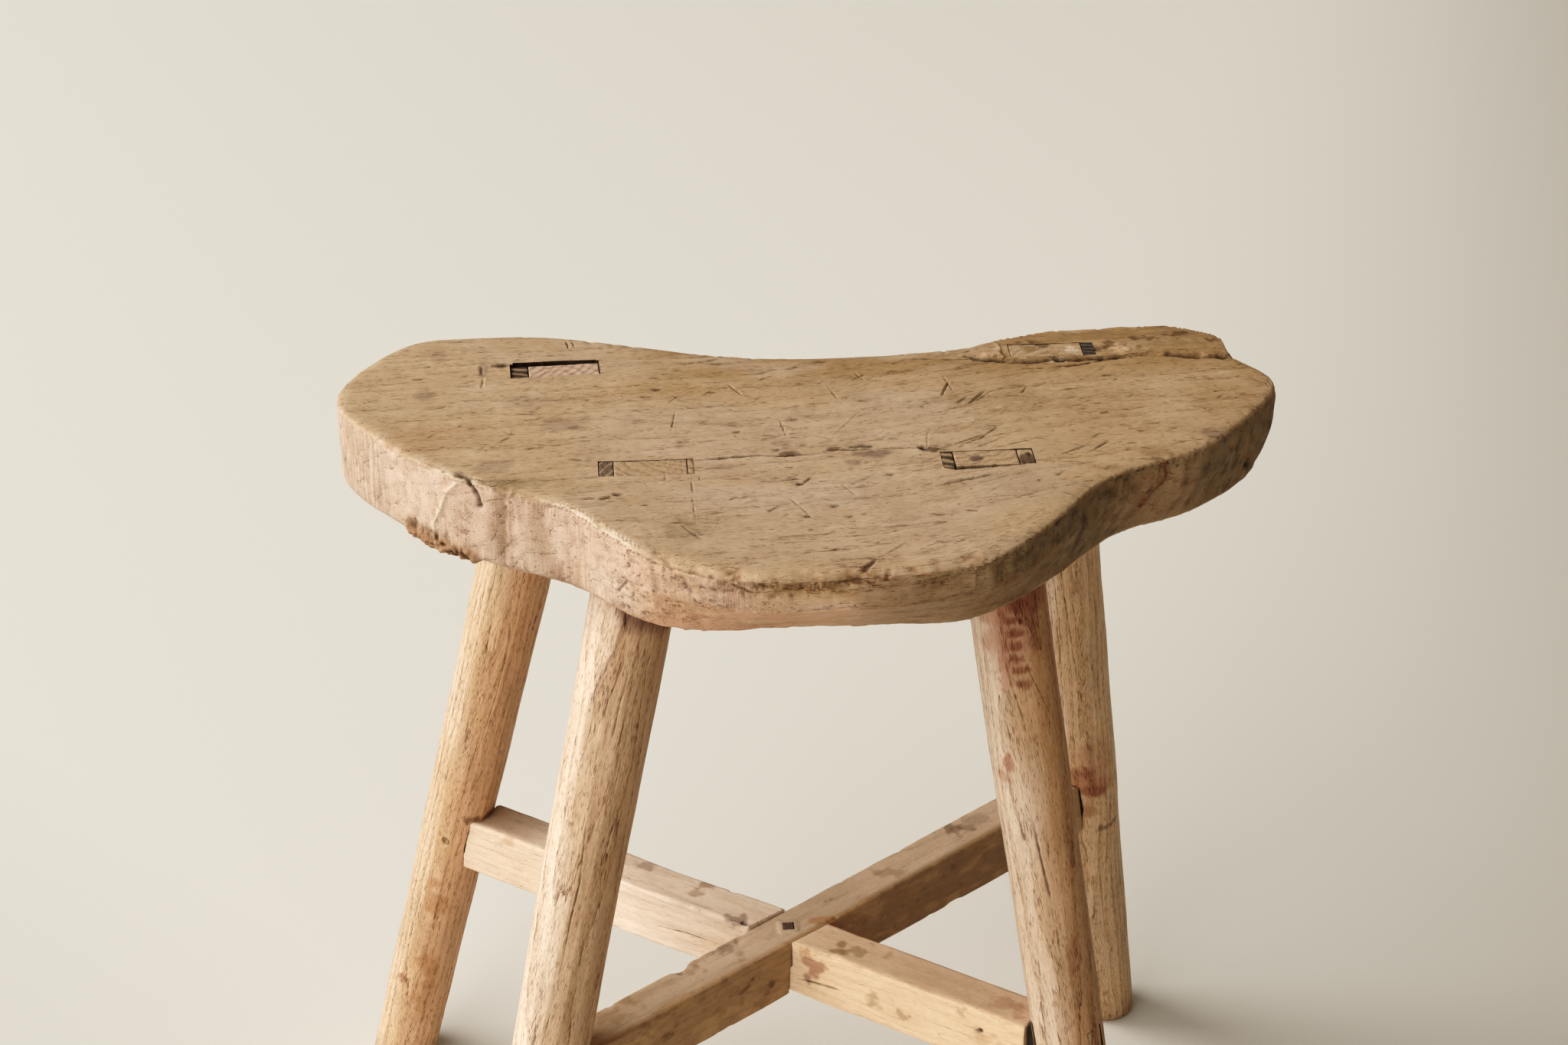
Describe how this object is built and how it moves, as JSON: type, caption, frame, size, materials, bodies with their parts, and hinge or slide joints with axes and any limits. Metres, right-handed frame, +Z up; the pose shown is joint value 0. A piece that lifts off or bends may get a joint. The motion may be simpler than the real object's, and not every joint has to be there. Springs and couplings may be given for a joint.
{
  "type": "milking stool",
  "caption": "Rustic wooden milking stool: a thick cross-shaped slab seat on splayed round legs, tenoned through the seat, with crossed half-lapped stretchers.",
  "frame": {"origin": "on the floor, at the centre of the bounding box's base", "axes": "+Z up, out of the seat; +X along the seat's long direction, to the right for a person facing its rounded front, which is at -Y"},
  "size_m": [0.4843, 0.3257, 0.503],
  "materials": {
    "seat_wood": "worn, dry, oiled by use",
    "leg_wood": "worn, smooth",
    "stretcher_wood": "worn, smooth, darker where it was handled less",
    "dark_wedge_wood": "dark end grain",
    "filler_wood": "dark end grain",
    "nail_iron": "rusted, dull"
  },
  "bodies": {
    "root": {"crossing_nail": "nail_iron", "filler_front_right": "filler_wood", "leg_back_left": "leg_wood", "leg_back_right": "leg_wood", "leg_front_left": "leg_wood", "leg_front_right": "leg_wood", "peg_back_left": "leg_wood", "peg_back_right": "leg_wood", "peg_front_left": "leg_wood", "peg_front_right": "leg_wood", "seat": "seat_wood", "shim_front_left": "leg_wood", "stretcher_lower": "stretcher_wood", "stretcher_upper": "stretcher_wood", "wedge_back_left": "dark_wedge_wood", "wedge_back_right": "dark_wedge_wood", "wedge_front_left": "dark_wedge_wood", "wedge_front_right": "dark_wedge_wood"}
  },
  "joints": []
}
